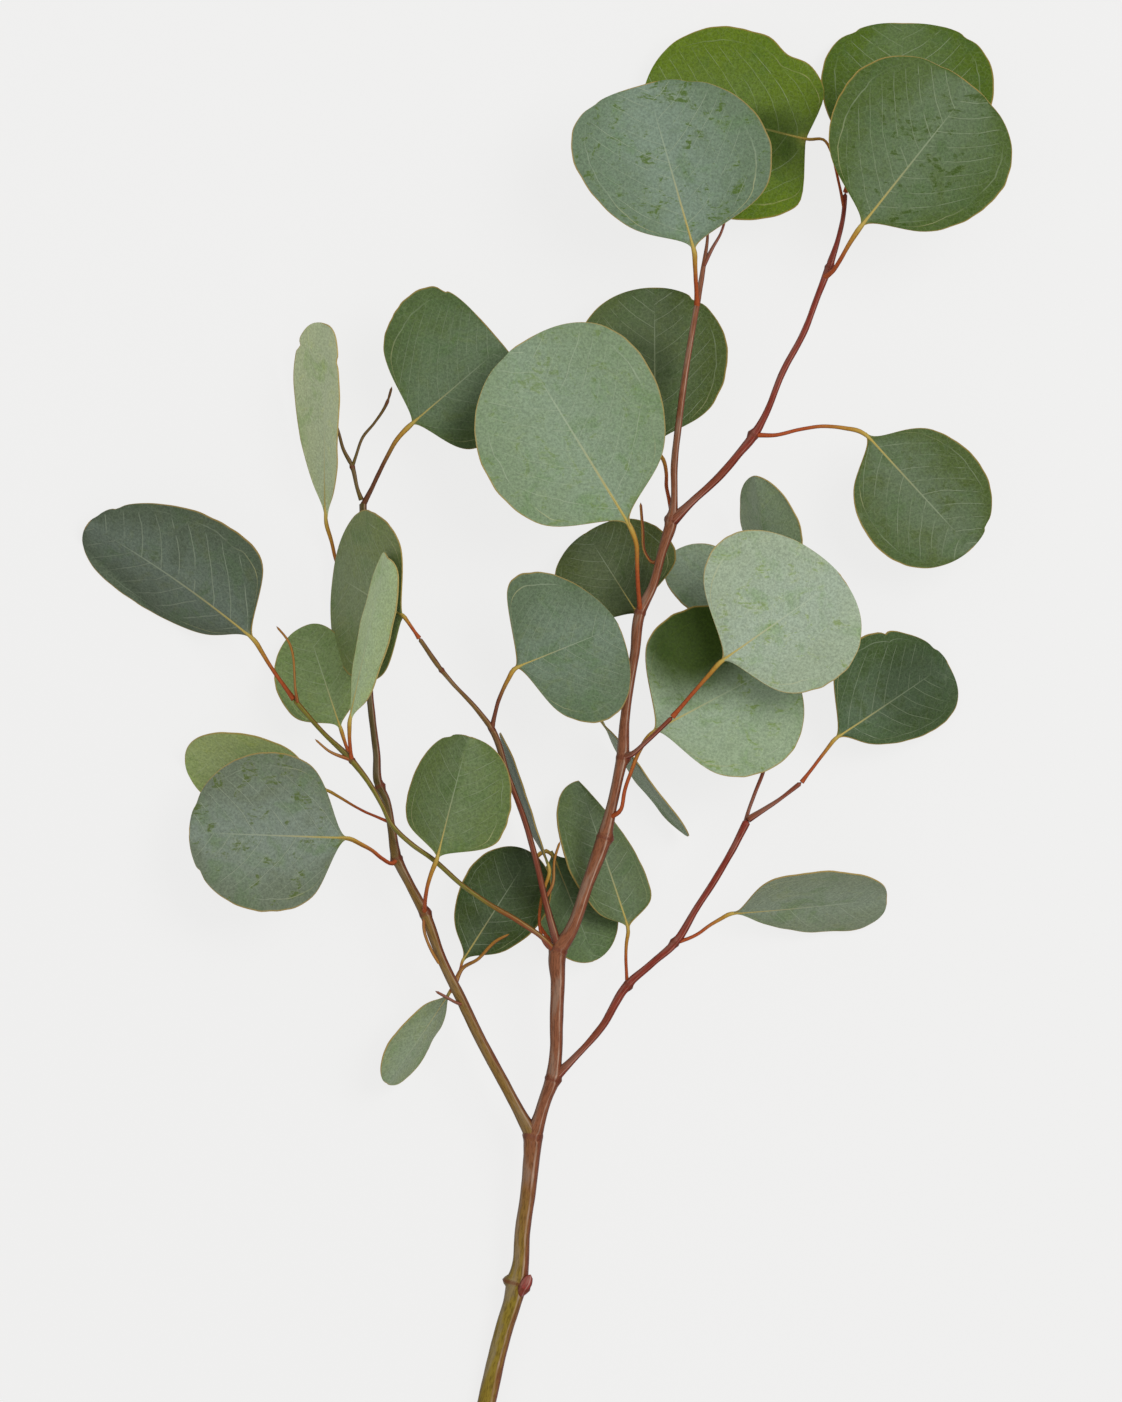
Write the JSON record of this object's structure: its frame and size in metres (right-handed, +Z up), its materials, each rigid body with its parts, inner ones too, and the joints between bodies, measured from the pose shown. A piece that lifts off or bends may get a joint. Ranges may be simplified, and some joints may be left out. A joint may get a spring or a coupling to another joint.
{
  "type": "eucalyptus branch",
  "caption": "Cut branch of silver-dollar eucalyptus lying flat: a forked red-brown stem with round blue-green leaves, for flower arrangements and decoration",
  "frame": {"origin": "centre of the bounding box's footprint, on the surface that the branch lies on", "axes": "+Y runs along the branch from the cut end to the crown, +Z is up from the surface, +X is to the right seen from above"},
  "size_m": [0.2958, 0.4636, 0.0598],
  "materials": {
    "main_stem": "satin",
    "node_bud": "satin",
    "left_branch": "satin",
    "left_top_twig": "satin",
    "left_top_side_twig": "satin",
    "crossing_shoot": "satin",
    "centre_left_shoot": "satin",
    "right_branch": "satin",
    "right_tip_twig": "satin",
    "right_back_twig": "satin",
    "right_front_twig": "satin",
    "crown_right_shoot": "satin",
    "crown_tip_twig": "satin",
    "low_left_spur": "satin",
    "left_branch_twiglet": "satin",
    "pressed_stalk": "satin",
    "far_left_twiglet": "satin",
    "cluster_twiglet": "satin",
    "upper_bare_stalk": "satin",
    "centre_bare_stalk": "satin",
    "crown_left_front": "matte",
    "crown_left_back": "matte",
    "crown_right_front": "matte",
    "crown_right_back": "matte",
    "centre_top_back": "matte",
    "centre_big_front": "matte",
    "upper_left": "matte",
    "narrow_left": "matte",
    "right_mid": "matte",
    "left_far": "matte",
    "left_dark_tall": "matte",
    "left_small_front": "matte",
    "left_small_back": "matte",
    "left_blue": "matte",
    "left_green_back": "matte",
    "mid_left_green": "matte",
    "centre_left": "matte",
    "centre_back_dark": "matte",
    "back_blue_small": "matte",
    "back_upper": "matte",
    "right_pale_front": "matte",
    "right_green_mid": "matte",
    "right_far": "matte",
    "right_low": "matte",
    "edge_right": "matte",
    "twisted_centre": "matte",
    "lower_dark_back": "matte",
    "edge_centre": "matte",
    "lower_left_dark": "matte",
    "lower_left_hanging": "matte"
  },
  "bodies": {
    "root": {"main_stem": "main_stem", "node_bud": "node_bud", "left_branch": "left_branch", "left_top_twig": "left_top_twig", "left_top_side_twig": "left_top_side_twig", "crossing_shoot": "crossing_shoot", "centre_left_shoot": "centre_left_shoot", "right_branch": "right_branch", "right_tip_twig": "right_tip_twig", "right_back_twig": "right_back_twig", "right_front_twig": "right_front_twig", "crown_right_shoot": "crown_right_shoot", "crown_tip_twig": "crown_tip_twig", "low_left_spur": "low_left_spur", "left_branch_twiglet": "left_branch_twiglet", "pressed_stalk": "pressed_stalk", "far_left_twiglet": "far_left_twiglet", "cluster_twiglet": "cluster_twiglet", "upper_bare_stalk": "upper_bare_stalk", "centre_bare_stalk": "centre_bare_stalk", "crown_left_front": "crown_left_front", "crown_left_back": "crown_left_back", "crown_right_front": "crown_right_front", "crown_right_back": "crown_right_back", "centre_top_back": "centre_top_back", "centre_big_front": "centre_big_front", "upper_left": "upper_left", "narrow_left": "narrow_left", "right_mid": "right_mid", "left_far": "left_far", "left_dark_tall": "left_dark_tall", "left_small_front": "left_small_front", "left_small_back": "left_small_back", "left_blue": "left_blue", "left_green_back": "left_green_back", "mid_left_green": "mid_left_green", "centre_left": "centre_left", "centre_back_dark": "centre_back_dark", "back_blue_small": "back_blue_small", "back_upper": "back_upper", "right_pale_front": "right_pale_front", "right_green_mid": "right_green_mid", "right_far": "right_far", "right_low": "right_low", "edge_right": "edge_right", "twisted_centre": "twisted_centre", "lower_dark_back": "lower_dark_back", "edge_centre": "edge_centre", "lower_left_dark": "lower_left_dark", "lower_left_hanging": "lower_left_hanging"}
  },
  "joints": []
}
